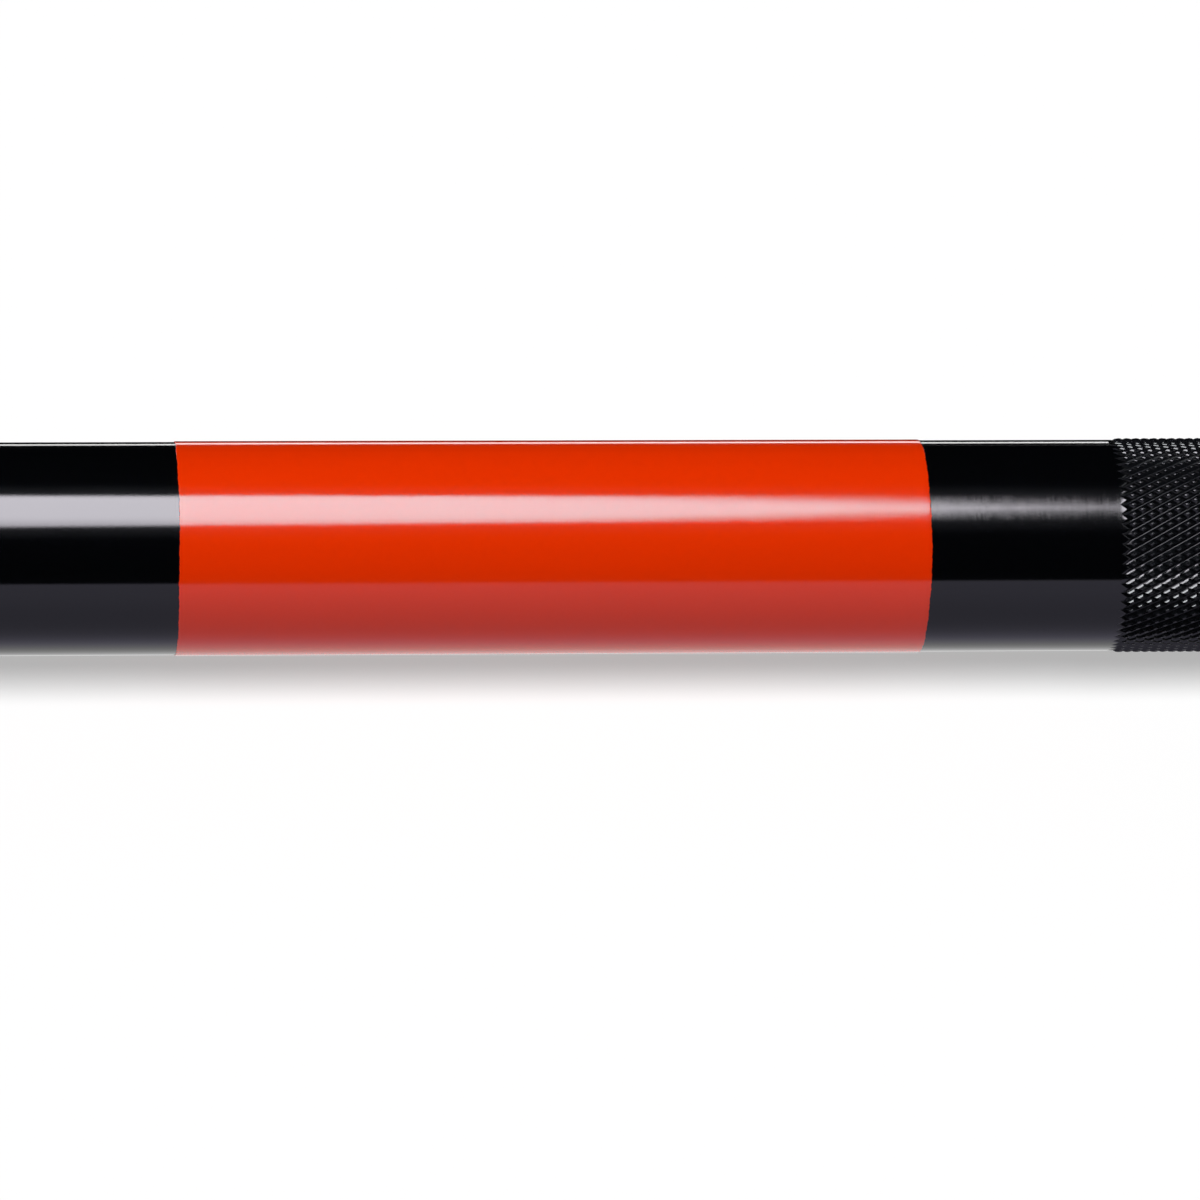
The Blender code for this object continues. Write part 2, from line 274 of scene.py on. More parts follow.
def sheet(name, corners, material, faces=None):
    """A plain stage object from its corners, one face unless told otherwise."""
    mesh = bpy.data.meshes.new(name)
    mesh.from_pydata(corners, [], faces or [tuple(range(len(corners)))])
    mesh.materials.append(material)
    made = in_scene(name, mesh)
    return made


def rectangle(low, high, height=0.0):
    """The corners of a level rectangle between two (x, y) corners."""
    (x0, y0), (x1, y1) = low, high
    return [(x0, y0, height), (x1, y0, height), (x1, y1, height), (x0, y1, height)]


table_white, net = finish("table_white")
glow = emission(net, FLOOR_BOUNCE + seen_by_eye(net) * (FLOOR_GLOW - FLOOR_BOUNCE))
surface(net, net.node("ShaderNodeAddShader", None, {0: diffuse(net, FLOOR_COLOUR), 1: glow})[0])
floor = sheet("floor", rectangle((-FLOOR_REACH,) * 2, (FLOOR_REACH,) * 2), table_white)

world = bpy.data.worlds.new("studio")
world.use_nodes = True
world.node_tree.nodes.clear()
bpy.context.scene.world = world
net = Net(world.node_tree)
sky = net.node(
    "ShaderNodeBackground", None,
    {"Color": (*WHITE, 1.0), "Strength": AMBIENT + seen_by_eye(net) * (1.0 - AMBIENT)},
)
net.node("ShaderNodeOutputWorld", None, {"Surface": sky[0]})
print(f"floor {2 * FLOOR_REACH:.0f} m across")

# %% Drape
DRAPE_RADIUS, DRAPE_HALF, ARCH_STEPS = 3.0, 5.0, 48


def only_reflected(made):
    made.visible_camera = made.visible_diffuse = made.visible_shadow = False
    made.visible_volume_scatter = False


black_cloth, net = finish("black_cloth")
surface(net, diffuse(net, NO_LIGHT))
arch = [
    (x, -DRAPE_RADIUS * math.cos(turn), DRAPE_RADIUS * math.sin(turn))
    for turn in (math.pi * step / ARCH_STEPS for step in range(ARCH_STEPS + 1))
    for x in (-DRAPE_HALF, DRAPE_HALF)
]
strips_of_cloth = [
    (2 * step, 2 * step + 1, 2 * step + 3, 2 * step + 2) for step in range(ARCH_STEPS)
]
only_reflected(sheet("drape", arch, black_cloth, strips_of_cloth))
print("drape hung")

# %% [markdown]
# ## Cards on the floor
# In front lies the floor as the bar's lower half reflects it: white far off, and greyer in a
# painted contact shadow of the bar, on a glowing card that only reflections see. The painted
# shadow's cool cast ends where the bar nearly touches its mirror image, and goes no further than
# the shaft, so that the chrome stays neutral. Behind the bar the reflected floor is black, so that
# the thin rim light along the top edge stands alone.

# %% Cards that only reflections see
CARD_EDGE, CARD_HEIGHT, CLOTH_HEIGHT = 0.034, 0.0004, 0.0005
BESIDE_PICTURE = (0.45, 0.66)
COOL_CAST, COOL_FROM = (0.96, 0.92, 1.18), (0.004, 0.02)
# Grey levels of the painted contact shadow, by distance in front of the bar.
SHADE = (
    (-1.0, 0.97), (-0.54, 0.92), (-0.18, 0.87), (-0.107, 0.79), (-0.073, 0.70), (-0.052, 0.63),
    (-0.038, 0.58), (-0.028, 0.61), (-0.02, 0.72), (-0.012, 0.9), (0.0, 1.0),
)


def beside_picture(net, x):
    """0 along the middle of the bar, which the picture shows, and 1 along the sleeves."""
    return ramp(net, x.math("ABSOLUTE"), *BESIDE_PICTURE)


# The card glows with a painted contact shadow and a painted cool cast, seen only in reflections.
painted_contact_shade, net = finish("painted_contact_shade")
x, y, _ = split(net)
before = y * -1.0
share = (before.math("MAXIMUM", 0.0) ** 0.5).math("MINIMUM", 1.0)
stops = [(math.sqrt(-at), (level, level, level, 1.0)) for at, level in reversed(SHADE)]
shade = net.node("ShaderNodeValToRGB", {"stops": stops}, {"Fac": share})["Color"]
cool = ramp(net, before, *COOL_FROM) * (1.0 - beside_picture(net, x))
tinted = net.node(
    "ShaderNodeMix", {"data_type": "RGBA", "blend_type": "MULTIPLY"},
    {"Factor": cool, 6: shade, 7: (*COOL_CAST, 1.0)},
)[2]
surface(net, net.node("ShaderNodeEmission", None, {"Color": tinted, "Strength": 1.0})[0])
in_front = rectangle((-DRAPE_HALF, -DRAPE_RADIUS), (DRAPE_HALF, CARD_EDGE), CARD_HEIGHT)
only_reflected(sheet("card_in_front", in_front, painted_contact_shade))

faded_cloth, net = finish("faded_cloth")
x, _, _ = split(net)
gone = net.node("ShaderNodeBsdfTransparent")[0]
faded = {0: beside_picture(net, x), 1: diffuse(net, NO_LIGHT), 2: gone}
surface(net, net.node("ShaderNodeMixShader", None, faded)[0])
cloth_end = BESIDE_PICTURE[1]
behind = rectangle((-cloth_end, CARD_EDGE), (cloth_end, DRAPE_RADIUS), CLOTH_HEIGHT)
only_reflected(sheet("cloth_behind", behind, faded_cloth))
print(f"cards meet {CARD_EDGE * 1000:.0f} mm behind the bar's axis")

# %% [markdown]
# ## Screens at the ends
# Each open end of the drape is closed by a grey screen: light near the floor, dark above, with a
# bright window on either side. Seen from the other end of the bar, the chrome mirrors it.

# %% End screens
SCREEN_TOP, SCREEN_LEVELS = 1.6, (0.5, 0.03)
WINDOW_WIDTH, WINDOW_HEIGHT, WINDOW_BRIGHTNESS = (0.7, 1.3), (0.5, 2.2), 1.6


def between(value, low, high):
    return (value > low) * (value < high)


grey_screen, net = finish("grey_screen")
_, y, height = split(net)
window = between(y.math("ABSOLUTE"), *WINDOW_WIDTH) * between(height, *WINDOW_HEIGHT)
fall = ramp(net, height, 0.0, SCREEN_TOP, *SCREEN_LEVELS)
surface(net, emission(net, fall + window * WINDOW_BRIGHTNESS))
for side, sign in BOTH_SIDES:
    rim = [(sign * DRAPE_HALF, y, z) for _, y, z in arch[::2]]
    only_reflected(sheet(f"screen_{side}", rim, grey_screen))
print(f"screens {2 * DRAPE_HALF:.0f} m apart")

# %% [markdown]
# ## Softboxes
# One octagonal softbox hangs a metre above the bar, a little towards the camera: its mirror image
# is the long highlight. It is a little dimmer on the camera's side, and the cloth round it catches
# some light, which gives the highlight a faint skirt. A strip softbox carries the light on to
# either side. The smooth steel in the picture mirrors neither. The left flanks of the knurl's
# pyramids mirror the left one, and the chrome, which needs far less light, mirrors both.

# %% Softbox, spill and strips
BOX_TILT, BOX_DISTANCE, BOX_REACH = math.radians(79.0), 1.0, 0.354
BOX_BRIGHTNESS, BOX_COLOUR = 20.2, (0.956, 0.922, 1.0)
BOX_DIM, BOX_DIM_LEVEL = (-0.36, -0.1), 0.62
SPILL_REACH, SPILL_LEVEL, SPILL_FALL, SPILL_BEHIND = 0.75, 0.35, (0.3, 0.68), 0.02
SPILL_COLOUR, STRIP_COLOUR = (0.9, 0.93, 1.0), (0.93, 0.97, 1.0)
STRIP_REACH, STRIP_BEHIND = 0.12, 0.01
STRIPS = {"left": (-1.25, -0.15, 21.0), "right": (0.56, 1.25, 2.5)}
middle = Vector((0.0, 0.0, AXIS))
box_direction = Vector((0.0, -math.cos(BOX_TILT), math.sin(BOX_TILT)))
box_across = Vector((0.0, math.sin(BOX_TILT), math.cos(BOX_TILT)))
box_centre = Vector((0.008, 0.0, AXIS)) + BOX_DISTANCE * box_direction


def octagon(name, centre, reach, material):
    """An eight-sided sheet facing the bar, with a corner towards each end of the bar."""
    turns = [step * math.pi / 4 for step in range(8)]
    rim = [
        centre + reach * (math.cos(turn) * Vector((1, 0, 0)) + math.sin(turn) * box_across)
        for turn in turns
    ]
    only_reflected(sheet(name, rim, material))


box_fabric, net = finish("softbox_fabric")
_, y, _ = split(net)
level = ramp(net, y, box_centre.y + BOX_DIM[0], box_centre.y + BOX_DIM[1], BOX_DIM_LEVEL, 1.0)
surface(net, emission(net, level * BOX_BRIGHTNESS, BOX_COLOUR))
octagon("softbox", box_centre, BOX_REACH, box_fabric)

spill, net = finish("softbox_spill")
sockets = {0: object_place(net), 1: box_centre}
off = net.node("ShaderNodeVectorMath", {"operation": "DISTANCE"}, sockets)["Value"]
surface(net, emission(net, ramp(net, off, *SPILL_FALL, SPILL_LEVEL, 0.0), SPILL_COLOUR))
octagon("softbox_spill", box_centre + SPILL_BEHIND * box_direction, SPILL_REACH, spill)

middle_line = middle + (BOX_DISTANCE + STRIP_BEHIND) * box_direction
for side, (low, high, brightness) in STRIPS.items():
    fabric, net = finish(f"strip_fabric_{side}")
    surface(net, emission(net, brightness, STRIP_COLOUR))
    corners = [
        middle_line + Vector((x, 0, 0)) + across * STRIP_REACH * box_across
        for x, across in ((low, -1), (high, -1), (high, 1), (low, 1))
    ]
    only_reflected(sheet(f"strip_softbox_{side}", corners, fabric))
print(f"softbox {2 * BOX_REACH:.2f} m across, {BOX_DISTANCE:.1f} m from the bar")

# %% [markdown]
# ## Lamps
# The softboxes only show in reflections. A round lamp in the same place gives the light itself at a
# plain level, so a colour renders about as it is written, and a weak lamp from the front fills the
# lower side. A sun that lights only the floor draws the soft shadow in front of the bar. A thin
# strip low behind the bar draws the rim line along its top, on the smooth steel alone.

# %% Lamps and what they light
KEY_POWER, FILL_POWER, FILL_PLACE, FILL_SIZE = 10.0, 1.0, (0.1, -1.2, 0.75), 0.8
SUN_TILT, SUN_WIDTH, SUN_POWER = math.radians(44.5), math.radians(9.6), 6.1
RIM_BRIGHTNESS, RIM_SIZE, RIM_HEIGHT, RIM_BEHIND = 3.3, (1.3, 0.0112), 0.0286, 0.12

floor_only = bpy.data.collections.new("floor_only")
floor_only.objects.link(floor)
all_but_floor = bpy.data.collections.new("all_but_floor")
all_but_floor.objects.link(floor)
all_but_floor.collection_objects[0].light_linking.link_state = "EXCLUDE"
smooth_steel = bpy.data.collections.new("smooth_steel")


def lamp(name, kind, place, aim, power, receivers, glossy=False, diffuse=True, **settings):
    """A lamp at a place, facing an aim, that the camera doesn't see."""
    data = bpy.data.lights.new(name, kind)
    data.energy = power
    data.cycles.use_multiple_importance_sampling = glossy
    for key, value in settings.items():
        setattr(data, key, value)
    made = in_scene(name, data)
    made.location = place
    made.rotation_euler = (Vector(place) - Vector(aim)).to_track_quat("Z", "Y").to_euler()
    made.visible_camera, made.visible_glossy, made.visible_diffuse = False, glossy, diffuse
    made.light_linking.receiver_collection = receivers


lamp(
    "key", "AREA", box_centre, middle, KEY_POWER, all_but_floor, shape="DISK", size=2 * BOX_REACH,
)
lamp("fill", "AREA", FILL_PLACE, middle, FILL_POWER, all_but_floor, shape="DISK", size=FILL_SIZE)
sun_place = (0.0, -math.cos(SUN_TILT), math.sin(SUN_TILT))
lamp("shadow_sun", "SUN", sun_place, (0, 0, 0), SUN_POWER, floor_only, angle=SUN_WIDTH)
lamp(
    "rim_strip", "AREA", (0.0, RIM_BEHIND, RIM_HEIGHT), (0.0, 0.0, RIM_HEIGHT),
    RIM_BRIGHTNESS * math.pi * RIM_SIZE[0] * RIM_SIZE[1], smooth_steel, glossy=True, diffuse=False,
    shape="RECTANGLE", size=RIM_SIZE[0], size_y=RIM_SIZE[1],
)

# %% [markdown]
# ## Black and orange coats
# Both are thin glossy lacquers over turned steel. The lathe left rings a few tenths of a millimetre
# wide and too shallow to see in the outline: a bump of one-dimensional noise along the bar. They
# break up the ends of the highlight into fine upright streaks, and orange paint fills them a
# little. The knurl's flanks, caps and groove floors are painted a lighter black, a painted faint
# sheen that stands for the dim light spread round its glints. Each of its faces carries the number
# of the part it is.

# %% Coats
BLACK = (0.0011, 0.0013, 0.0018)
# A lighter black for the knurl's flanks, caps and groove floors: a painted faint sheen.
PAINTED_SHEEN_BLACK = (0.0055, 0.006, 0.0075)
ORANGE, ORANGE_GLOSS = (0.79, 0.031, 0.0), (0.05, 1.0, 1.0)
SMOOTH, FLANK, CAP, FLOOR, BANK, TOOTH = range(6)
COAT_MARKS = 0.0002
HAZE_SCALE, HAZE = 90.0, 0.03


def turning_marks(net, depth, length):
    """A normal with fine rings across the bar, this deep and about this long."""
    x, _, _ = split(net)
    return bump(net, ring_noise(net, x / length, 2.0, 0.6), depth)


def coat(name, colour, roughness, marks, index, gloss=WHITE, dulled=0.0, painted_sheen=None):
    """A glossy coat over turned steel, with marks this deep and this index of refraction.

    On a knurl its flanks, caps and floors take the lighter black of a painted faint sheen, and caps
    and groove floors are duller by this much.
    """
    material, net = finish(name)
    base = (*colour, 1.0)
    matt = noise(net, HAZE_SCALE) * HAZE + (roughness - HAZE / 2)
    if painted_sheen:
        part = net.node("ShaderNodeAttribute", {"attribute_name": "part"})["Fac"]
        base = mixed(net, between(part, SMOOTH + 0.5, BANK - 0.5), colour, painted_sheen)
        matt = matt + between(part, FLANK + 0.5, FLOOR + 0.5) * dulled
    principled(net, {
        "Base Color": base, "Roughness": matt, "IOR": index, "Specular Tint": (*gloss, 1.0),
        "Normal": turning_marks(net, marks, COAT_MARKS),
    })
    return material


black_coat = coat("black_lacquer", BLACK, 0.085, 2.4e-6, 1.4, dulled=0.27, painted_sheen=PAINTED_SHEEN_BLACK)
orange_coat = coat("orange_paint", ORANGE, 0.115, 1.6e-6, 1.42, gloss=ORANGE_GLOSS)
print("coats:", black_coat.name, orange_coat.name)

# %% [markdown]
# ## Turned pieces
# Nearly everything on a bar comes off a lathe, so one function spins a profile about its axis. It
# makes as many sides as the knurl has corners, 264, so the smooth steel meets the knurl point to
# point. Another eases a profile's corners, as a lathe hand breaks every edge.

# %% Turning
SIDES = 264
EASED_FROM, EASED_MOST, KEPT_STRAIGHT = math.radians(12), 0.3, 1.3
SHARP_FROM = math.radians(28)


def piece(name, mesh, body, nodes=()):
    """A finished piece: rides on its body and stands for its CAD nodes."""
    made = in_scene(name, mesh)
    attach(made, body)
    if nodes:
        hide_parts(*nodes)
    print(f"{name}: {sum(len(face.vertices) - 2 for face in mesh.polygons)} triangles")
    return made


def eased(profile, reach, closed=True):
    """The profile with each corner rounded over this reach.

    A short straight length on both sides keeps the rounding from bending the shading beyond it.
    """
    points = [Vector(point) for point in profile]
    eased_points = []
    for index, corner in enumerate(points):
        before, after = points[index - 1], points[(index + 1) % len(points)]
        enter, leave = before - corner, after - corner
        at_end = not closed and index in (0, len(points) - 1)
        if at_end or enter.angle(-leave, 0.0) < EASED_FROM:
            eased_points.append(tuple(corner))
            continue
        short = min(reach, enter.length * EASED_MOST, leave.length * EASED_MOST)
        inward, onward = enter.normalized() * short, leave.normalized() * short
        eased_points.append(tuple(corner + inward * KEPT_STRAIGHT))
        for step in (0.0, 0.25, 0.5, 0.75, 1.0):
            eased_points.append(tuple(corner + (1 - step) ** 2 * inward + step**2 * onward))
        eased_points.append(tuple(corner + onward * KEPT_STRAIGHT))
    return eased_points


def on_side(profile, sign):
    """A profile drawn outboard from the right collar's inner face, put on the right or left end."""
    placed = [(COLLAR_FACE + x, radius) for x, radius in profile]
    return placed if sign > 0 else [(-x, radius) for x, radius in reversed(placed)]


def turned(name, profile, material, closed=True, sides=SIDES, wander=None):
    """A mesh spun about the bar's axis from (x, radius) points, outside in +X first."""
    rings, corners, faces = [], [], []
    for index, (x, radius) in enumerate(profile):
        if radius == 0:
            rings.append([len(corners)] * sides)
            corners.append((x, 0.0, AXIS))
            continue
        rings.append(list(range(len(corners), len(corners) + sides)))
        for side in range(sides):
            turn = math.tau * side / sides
            offset = wander[index][side] if wander is not None else 0.0
            corners.append((x + offset, radius * math.cos(turn), AXIS - radius * math.sin(turn)))
    pairs = list(zip(rings, rings[1:])) + ([(rings[-1], rings[0])] if closed else [])
    for here, there in pairs:
        for side in range(sides):
            after = (side + 1) % sides
            loop = (here[side], there[side], there[after], here[after])
            faces.append([corner for index, corner in enumerate(loop) if corner != loop[index - 1]])
    mesh = bpy.data.meshes.new(name)
    mesh.from_pydata(corners, [], faces)
    mesh.materials.append(material)
    mesh.shade_smooth()
    mesh.set_sharp_from_angle(angle=SHARP_FROM)
    return mesh


print(f"lathe ready, {SIDES} sides")

# %% [markdown]
# ## Shaft
# One bar of steel from cap to cap. Its knurled lengths are left a little thin here, because the
# knurl is a skin of its own over them. Past the collars it steps down at a shoulder to the journals
# that the bushings run on, with a groove for a snap ring near each end.

# %% The turned shaft
UNDER_KNURL, JOURNAL, RING_SEAT = 0.0140, 0.013, 0.01245
SHOULDER, SHOULDER_BREAK = COLLAR_FACE + 0.005, 0.0005
SHAFT_END, END_BREAK = COLLAR_FACE + 0.433, 0.001
RING_GROOVE = (SHAFT_END - 0.0054, SHAFT_END - 0.004)
centre_end = KNURL_ZONES["centre"][1]
half = [(centre_end, UNDER_KNURL), (centre_end, SHAFT)]
for start, end in (KNURL_ZONES["grip"], KNURL_ZONES["wide"]):
    half += [(start, SHAFT), (start, UNDER_KNURL), (end, UNDER_KNURL), (end, SHAFT)]
half += [
    (SHOULDER - SHOULDER_BREAK, SHAFT), (SHOULDER, SHAFT - SHOULDER_BREAK), (SHOULDER, JOURNAL),
    (RING_GROOVE[0], JOURNAL), (RING_GROOVE[0], RING_SEAT),
    (RING_GROOVE[1], RING_SEAT), (RING_GROOVE[1], JOURNAL),
    (SHAFT_END - END_BREAK, JOURNAL), (SHAFT_END, JOURNAL - END_BREAK), (SHAFT_END, 0),
]
whole = [(-x, radius) for x, radius in reversed(half)] + half
shaft_mesh = turned("shaft_turned", whole, black_coat, closed=False)
smooth_steel.objects.link(
    piece("shaft_turned", shaft_mesh, "shaft_unit", ["shaft"])
)

# %% [markdown]
# ## Knurl
# A knurling wheel rolls two families of V grooves into the steel, 30 degrees to the bar each way,
# and leaves rows of small pyramids between them. The pattern repeats 50 000 times, so Geometry
# Nodes lay it out flat, one diamond per point of a staggered grid, and roll the sheet round the
# bar. One family is rolled a little deeper and keeps a narrow floor, the other ends in a sharp
# valley. Each pyramid has a blunt cap. At both ends the smooth steel runs out in flat teeth between
# the first grooves, with a steep bank on each side.

# %% The knurl's node tree
GROOVE_DEPTH, CAP_DROP, WELD_WITHIN = 0.00024, 0.00005, 2e-6
PATTERN = {
    "Start": 0.0, "Length": 0.0, "Half Columns": 0, "Starts": 66, "Surface Radius": SHAFT,
    "Axis Height": AXIS, "Crest Rise": KNURL_CREST, "Groove Depth": GROOVE_DEPTH,
    "Groove Share": 0.14, "Cap Length": 0.32, "Cap Width": 0.19, "Cap Drop": CAP_DROP,
    "Edge Share": 0.486, "Tooth Share": 0.7, "Material": black_coat,
}
knurl_tree = bpy.data.node_groups.new("knurl", "GeometryNodeTree")
for name, value in PATTERN.items():
    kind = "NodeSocket" + {float: "Float", int: "Int"}.get(type(value), "Material")
    knurl_tree.interface.new_socket(name=name, in_out="INPUT", socket_type=kind)
knurl_tree.interface.new_socket(name="Mesh", in_out="OUTPUT", socket_type="NodeSocketGeometry")
wheel = Net(knurl_tree)
given = wheel.node("NodeGroupInput")
index = wheel.node("GeometryNodeInputIndex")[0]
position = wheel.node("GeometryNodeInputPosition")[0]
half_length = given["Length"] / (given["Half Columns"] + given["Edge Share"] * 2.0)
half_width = given["Surface Radius"] * math.pi / given["Starts"]


def vector(x, y, z=0.0):
    return wheel.node("ShaderNodeCombineXYZ", None, {0: x, 1: y, 2: z})[0]


def moved(geometry, place):
    sockets = {"Geometry": geometry, "Position": place}
    return wheel.node("GeometryNodeSetPosition", None, sockets)[0]


def joined(*geometries):
    return wheel.node("GeometryNodeJoinGeometry", None, {0: list(geometries)})[0]


def opposite(corner):
    x, y, z = corner
    return (x * -1.0, y * -1.0, z)


def patch(part, *corners):
    """One face of this part, from corners in half lengths, half widths and metres outward."""
    sockets = {"Vertices": len(corners)}
    circle = wheel.node("GeometryNodeMeshCircle", {"fill_type": "NGON"}, sockets)[0]
    places = {"Index": index}
    places.update({number + 1: vector(*corner) for number, corner in enumerate(corners)})
    settings = {"data_type": "VECTOR", "items": len(corners)}
    chosen = wheel.node("GeometryNodeIndexSwitch", settings, places)[0]
    return wheel.node(
        "GeometryNodeStoreNamedAttribute", {"data_type": "INT", "domain": "FACE"},
        {"Geometry": moved(circle, chosen), "Name": "part", "Value": part},
    )[0]


def scaled(tile, sign=1.0):
    """A tile brought to its real size, or turned half round for the knurl's other end."""
    x, y, z = split(wheel, position)
    return moved(tile, vector(x * half_length * sign, y * half_width * sign, z))


print("the knurl takes:", ", ".join(PATTERN))

# %% Three tiles: a pyramid, a groove floor and the end of the knurl
cut = given["Groove Share"] * 0.5
rest = 1.0 - cut
low = given["Groove Depth"] * -1.0
foot = [(rest, cut, low), (cut, rest, low)]
foot += [opposite(corner) for corner in foot]
long = (given["Cap Length"] + given["Cap Width"]) * 0.5
skew = (given["Cap Length"] - given["Cap Width"]) * 0.5
brow = given["Crest Rise"] - given["Cap Drop"]
rim = [(long, skew, brow), (skew, long, brow)]
rim += [opposite(corner) for corner in rim]
peak = (0.0, 0.0, given["Crest Rise"])
flanks = [patch(FLANK, foot[one], foot[one - 3], rim[one - 3], rim[one]) for one in range(4)]
caps = [patch(CAP, rim[one], rim[one - 3], peak) for one in range(4)]
pyramid = scaled(joined(*flanks, *caps))

far = [(cut, rest * -1.0 - cut * 2.0, low), (cut + 1.0, cut * -1.0, low)]
floor_strip = scaled(patch(FLOOR, foot[0], foot[3], far[0], far[1]))

edge = given["Edge Share"] * -1.0
point = (given["Tooth Share"] - given["Edge Share"], 0.0, 0.0)
border = [(edge, side, 0.0) for side in (-1.0, -0.5, 0.0, 0.5, 1.0)]
tooth = joined(
    *(patch(TOOTH, here, point, there) for here, there in zip(border, border[1:])),
    patch(BANK, point, foot[0], foot[1]), patch(BANK, point, foot[1], border[-1]),
    patch(BANK, border[0], foot[0], point),
    patch(FLOOR, foot[0], border[0], far[0]), patch(FLOOR, foot[0], far[0], far[1]),
)
print("tiles: pyramid, groove floor, tooth")

# %% The staggered grid, rolled round the bar
last = given["Half Columns"]
sockets = {"Size X": 1.0, "Size Y": 1.0, "Vertices X": last + 1.0, "Vertices Y": given["Starts"]}
grid = wheel.node("GeometryNodeMeshGrid", None, sockets)["Mesh"]
column = (index / given["Starts"]).math("FLOOR")
row = index.math("MODULO", given["Starts"])
odd = column.math("MODULO", 2.0)
along = (column + given["Edge Share"]) * half_length
grid = moved(grid, vector(along, (row * 2.0 + 1.0 - odd) * half_width))


def scattered(tile, chosen):
    sockets = {"Points": grid, "Selection": chosen, "Instance": tile}
    return wheel.node("GeometryNodeInstanceOnPoints", None, sockets)[0]


first, final = column < 0.5, column > last - 0.5
tiles = joined(
    scattered(pyramid, 1.0 - first - final),
    scattered(floor_strip, 1.0 - first - (column > last - 1.5)),
    scattered(scaled(tooth), first),
    scattered(scaled(tooth, -1.0), final),
)
tiles = wheel.node("GeometryNodeRealizeInstances", None, {0: tiles})[0]
x, around, height = split(wheel, position)
radius = given["Surface Radius"] + height
turn = around / given["Surface Radius"]
z = given["Axis Height"] - radius * turn.math("SINE")
skin = moved(tiles, vector(x + given["Start"], radius * turn.math("COSINE"), z))
sockets = {"Geometry": skin, "Distance": WELD_WITHIN}
skin = wheel.node("GeometryNodeMergeByDistance", None, sockets)[0]
sockets = {"Geometry": skin, "Material": given["Material"]}
wheel.node("NodeGroupOutput", None, {0: wheel.node("GeometryNodeSetMaterial", None, sockets)[0]})
print(f"knurl tree: {len(knurl_tree.nodes)} nodes")

# %% [markdown]
# ## Closing and rounding the knurl
# The skin is closed to a thin-walled tube over the core. A rolled knurl has rounded groove floors,
# crowned flanks and domed caps. Rounding all that in the mesh would cost too many faces, so each
# face stays flat and its corner normals lean as the round form would. Two flanks of a pyramid lean
# most at the foot and two at the brow, and a cap points straight out at its peak. Light then runs
# along a groove in a thin line and sits on each pyramid as a small glint.

# %% Closing the skin
INNER_WALL = 0.01405


def close_tube(mesh):
    """Turns the open skin into a thin-walled tube, whose ends and inside count as smooth."""
    form = bmesh.new()
    form.from_mesh(mesh)
    part = form.faces.layers.int["part"]
    rims = [edge for edge in form.edges if edge.is_boundary]
    inner = {}
    for corner in dict.fromkeys(corner for edge in rims for corner in edge.verts):
        inward = Vector((0, corner.co.y, corner.co.z - AXIS)).normalized() * INNER_WALL
        inner[corner] = form.verts.new((corner.co.x, inward.y, AXIS + inward.z))
    for edge in rims:
        here, there = edge.verts
        form.faces.new((here, there, inner[there], inner[here]))
    bmesh.ops.bridge_loops(form, edges=[edge for edge in form.edges if edge.is_boundary])
    for corner in inner.values():
        for face in corner.link_faces:
            face[part] = SMOOTH
    bmesh.ops.recalc_face_normals(form, faces=form.faces)
    form.to_mesh(mesh)
    form.free()


print(f"the skin's inner wall lies {(SHAFT - INNER_WALL) * 1000:.2f} mm under the surface")

# %% Corner normals
STEEP_LEAN, WIDE_LEAN, BANK_LEAN = np.radians((72, 38)), np.radians((39.5, 57)), np.radians((62, 4))
CAP_LEAN, FLOOR_LEAN, BURR_LEAN = np.radians((28, 50, 7))
TIP_SHARE = 0.75


def read(items, name, kind=float, width=1):
    """One property of every item, as an array."""
    values = np.zeros(len(items) * width, kind)
    items.foreach_get(name, values)
    return values.reshape(-1, width) if width > 1 else values


def unit(vectors):
    return vectors / np.maximum(np.linalg.norm(vectors, axis=1, keepdims=True), 1e-12)


def leaning(out, towards, lean):
    """Directions that lean from straight out by this angle."""
    along = unit(towards - (towards * out).sum(axis=1, keepdims=True) * out)
    lean = np.broadcast_to(lean, len(out))[:, None]
    return np.cos(lean) * out + np.sin(lean) * along


